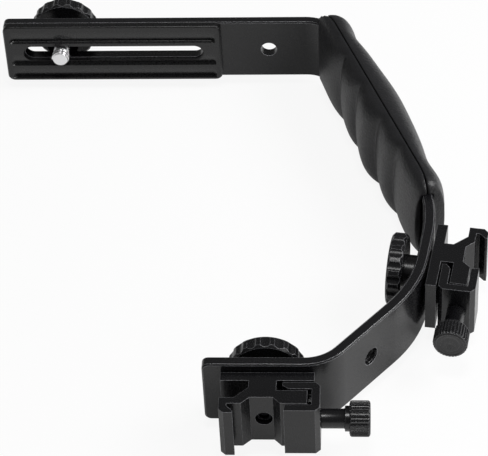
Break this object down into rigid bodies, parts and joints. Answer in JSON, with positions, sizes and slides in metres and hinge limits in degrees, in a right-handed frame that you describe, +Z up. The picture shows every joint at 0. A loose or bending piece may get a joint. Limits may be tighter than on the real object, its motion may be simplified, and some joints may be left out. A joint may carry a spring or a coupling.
{
  "type": "camera flash bracket",
  "caption": "C-shaped flash bracket of bent black strap with a ribbed camera plate, moulded rubber hand grip and clamping accessory shoes on turning knobs.",
  "frame": {"origin": "centre of the bounding box at its lowest plane, on which the bracket lies on its edge", "axes": "+X right along the two arms towards the grip side, +Y from the shoe arm to the camera plate, +Z up along the strap's width"},
  "size_m": [0.1636, 0.195, 0.0322],
  "materials": {
    "strap_metal": "satin black anodised",
    "ribbed_rubber": "matt, moulded ribs",
    "grip_rubber": "fine leathery grain",
    "bright_steel": "bright plated",
    "dark_steel": "black oxide",
    "knob_plastic": "satin moulded",
    "shoe_metal": "satin black anodised extrusion",
    "screw_metal": "satin black anodised, knurled",
    "washer_plastic": "matt"
  },
  "bodies": {
    "bracket": {"frame_strap": "strap_metal", "camera_pad": "ribbed_rubber", "grip_finger_half": "grip_rubber", "grip_palm_half": "grip_rubber"},
    "camera_carriage": {"camera_washer": "dark_steel"},
    "camera_screw_unit": {"camera_screw": "bright_steel", "camera_knob": "knob_plastic"},
    "top_shoe": {"top_shoe_body": "shoe_metal", "top_friction_washer": "washer_plastic"},
    "top_knob": {"top_mount_knob": "knob_plastic", "top_mount_stud": "dark_steel"},
    "top_jaw": {"top_shoe_jaw": "shoe_metal"},
    "top_thumbscrew": {"top_thumbscrew_head": "screw_metal", "top_thumbscrew_stud": "bright_steel"},
    "side_shoe": {"side_shoe_body": "shoe_metal", "side_friction_washer": "washer_plastic"},
    "side_knob": {"side_mount_knob": "knob_plastic", "side_mount_stud": "dark_steel"},
    "side_jaw": {"side_shoe_jaw": "shoe_metal"},
    "side_thumbscrew": {"side_thumbscrew_head": "screw_metal", "side_thumbscrew_stud": "bright_steel"}
  },
  "joints": [
    {"name": "camera_slide", "type": "slide", "parent": "bracket", "child": "camera_carriage", "axis": [1, 0, 0], "range_m": [-0.0098, 0.0464]},
    {"name": "camera_screw_spin", "type": "hinge", "parent": "camera_carriage", "child": "camera_screw_unit", "pos_m": [-0.06239, 0.08582, 0.016], "axis": [0, 1, 0], "continuous": true},
    {"name": "top_shoe_swivel", "type": "hinge", "parent": "bracket", "child": "top_shoe", "pos_m": [0.01473, -0.08112, 0.016], "axis": [0, -1, 0], "continuous": true},
    {"name": "top_knob_spin", "type": "hinge", "parent": "bracket", "child": "top_knob", "pos_m": [0.01473, -0.08112, 0.016], "axis": [0, 1, 0], "continuous": true},
    {"name": "top_jaw_slide", "type": "slide", "parent": "top_shoe", "child": "top_jaw", "axis": [1, 0, 0], "range_m": [-0.0012, 0.0033]},
    {"name": "top_thumbscrew_spin", "type": "hinge", "parent": "top_jaw", "child": "top_thumbscrew", "pos_m": [0.01473, -0.09129, 0.016], "axis": [1, 0, 0], "range_deg": [-984, 2496]},
    {"name": "side_shoe_swivel", "type": "hinge", "parent": "bracket", "child": "side_shoe", "pos_m": [0.0637, -0.03012, 0.016], "axis": [0.9877, -0.1564, 0], "continuous": true},
    {"name": "side_knob_spin", "type": "hinge", "parent": "bracket", "child": "side_knob", "pos_m": [0.0637, -0.03012, 0.016], "axis": [-0.9877, 0.1564, 0], "continuous": true},
    {"name": "side_jaw_slide", "type": "slide", "parent": "side_shoe", "child": "side_jaw", "axis": [-0.1564, -0.9877, 0], "range_m": [-0.00045, 0.00405]},
    {"name": "side_thumbscrew_spin", "type": "hinge", "parent": "side_jaw", "child": "side_thumbscrew", "pos_m": [0.07375, -0.03171, 0.016], "axis": [-0.1564, -0.9877, 0], "range_deg": [-444, 3036]}
  ],
  "couplings": [
    {"joint": "top_thumbscrew_spin", "follows": "top_jaw_slide", "rad_per_m": 12566},
    {"joint": "side_thumbscrew_spin", "follows": "side_jaw_slide", "rad_per_m": 12566}
  ]
}
